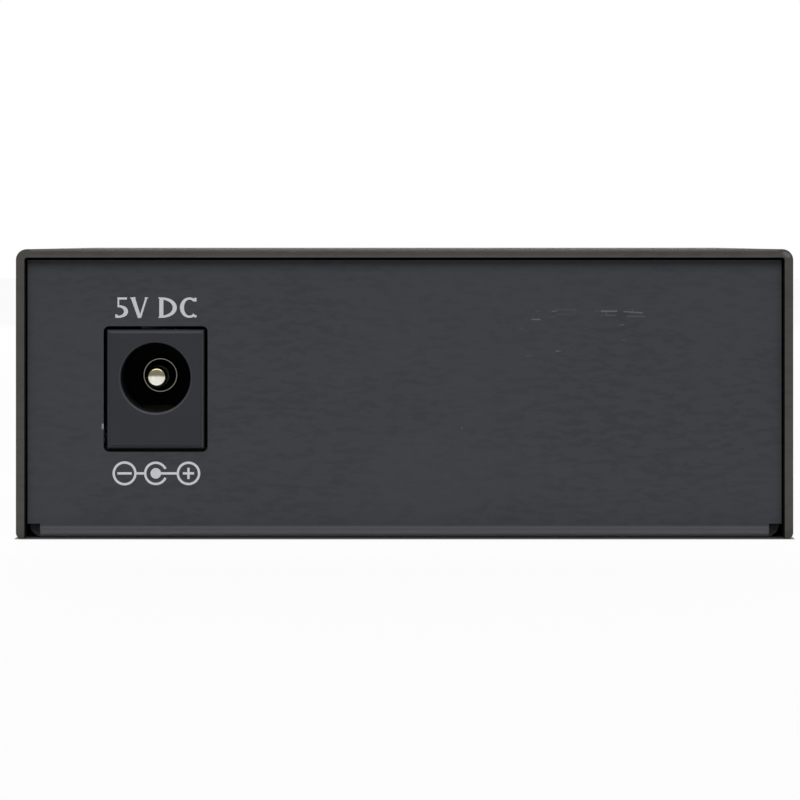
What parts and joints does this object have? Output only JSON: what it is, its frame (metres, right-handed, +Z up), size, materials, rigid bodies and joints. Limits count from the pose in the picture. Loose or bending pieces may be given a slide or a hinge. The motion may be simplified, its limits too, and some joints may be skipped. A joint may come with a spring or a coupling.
{
  "type": "fibre media converter",
  "caption": "Small dark steel box that joins a copper network cable to a pair of optical fibres, with a low-voltage power jack at the back",
  "frame": {"origin": "centre of the box's footprint, on the surface it stands on", "axes": "+X right when the power side faces the viewer, +Y from the power side to the port side, +Z up"},
  "size_m": [0.0716, 0.094, 0.0266],
  "materials": {
    "powder_coated_steel": "fine wrinkle powder coat, dark grey",
    "plated_screw": "black zinc plate",
    "zinc_screw": "bright zinc plate",
    "brass_standoff": "turned, bare",
    "board_laminate": "green solder mask on glass laminate",
    "black_plastic": "moulded, fine spark texture",
    "nickel_contact": "bright nickel plate",
    "gold_contact": "flash gold plate",
    "shield_steel": "tinned steel strip",
    "blue_plastic": "moulded",
    "ceramic_sleeve": "polished",
    "clear_green_lens": "tinted epoxy",
    "red_plastic": "moulded",
    "white_plastic": "moulded",
    "chip_epoxy": "moulded epoxy",
    "can_aluminium": "drawn",
    "ferrite": "sintered"
  },
  "bodies": {
    "root": {"top_cover": "powder_coated_steel", "base_tray": "powder_coated_steel", "cover_screws": "plated_screw", "circuit_board": "board_laminate", "board_standoffs": "brass_standoff", "board_screws": "zinc_screw", "power_jack_body": "black_plastic", "power_jack_pin": "nickel_contact", "power_jack_tip_terminal": "nickel_contact", "power_jack_sleeve_spring": "nickel_contact", "power_jack_switch_terminal": "nickel_contact", "rj45_shield": "shield_steel", "rj45_insert": "black_plastic", "rj45_contacts": "gold_contact", "fibre_housing": "blue_plastic", "fibre_module_lid": "shield_steel", "rx_ferrule_sleeve": "ceramic_sleeve", "tx_ferrule_sleeve": "ceramic_sleeve", "rx_latch_clip": "blue_plastic", "tx_latch_clip": "blue_plastic", "fibre_pins": "gold_contact", "led_holder": "black_plastic", "led_leads": "nickel_contact", "power_led": "clear_green_lens", "fibre_link_led": "clear_green_lens", "copper_link_led": "clear_green_lens", "speed_led": "clear_green_lens", "dip_switch_body": "red_plastic", "dip_switch_pins": "nickel_contact", "converter_chip": "chip_epoxy", "memory_chip": "chip_epoxy", "isolation_transformer": "chip_epoxy", "voltage_regulator": "chip_epoxy", "crystal": "can_aluminium", "input_capacitor": "can_aluminium", "output_capacitor": "can_aluminium", "power_inductor": "ferrite", "input_fuse": "chip_epoxy", "smd_passives": "chip_epoxy"},
    "slider_1": {"dip_slider_1": "white_plastic"},
    "slider_2": {"dip_slider_2": "white_plastic"},
    "slider_3": {"dip_slider_3": "white_plastic"},
    "slider_4": {"dip_slider_4": "white_plastic"}
  },
  "joints": [
    {"name": "switch_1_slide", "type": "slide", "parent": "root", "child": "slider_1", "axis": [0, 0, 1], "range_m": [0, 0.0018]},
    {"name": "switch_2_slide", "type": "slide", "parent": "root", "child": "slider_2", "axis": [0, 0, 1], "range_m": [0, 0.0018]},
    {"name": "switch_3_slide", "type": "slide", "parent": "root", "child": "slider_3", "axis": [0, 0, 1], "range_m": [0, 0.0018]},
    {"name": "switch_4_slide", "type": "slide", "parent": "root", "child": "slider_4", "axis": [0, 0, 1], "range_m": [0, 0.0018]}
  ]
}
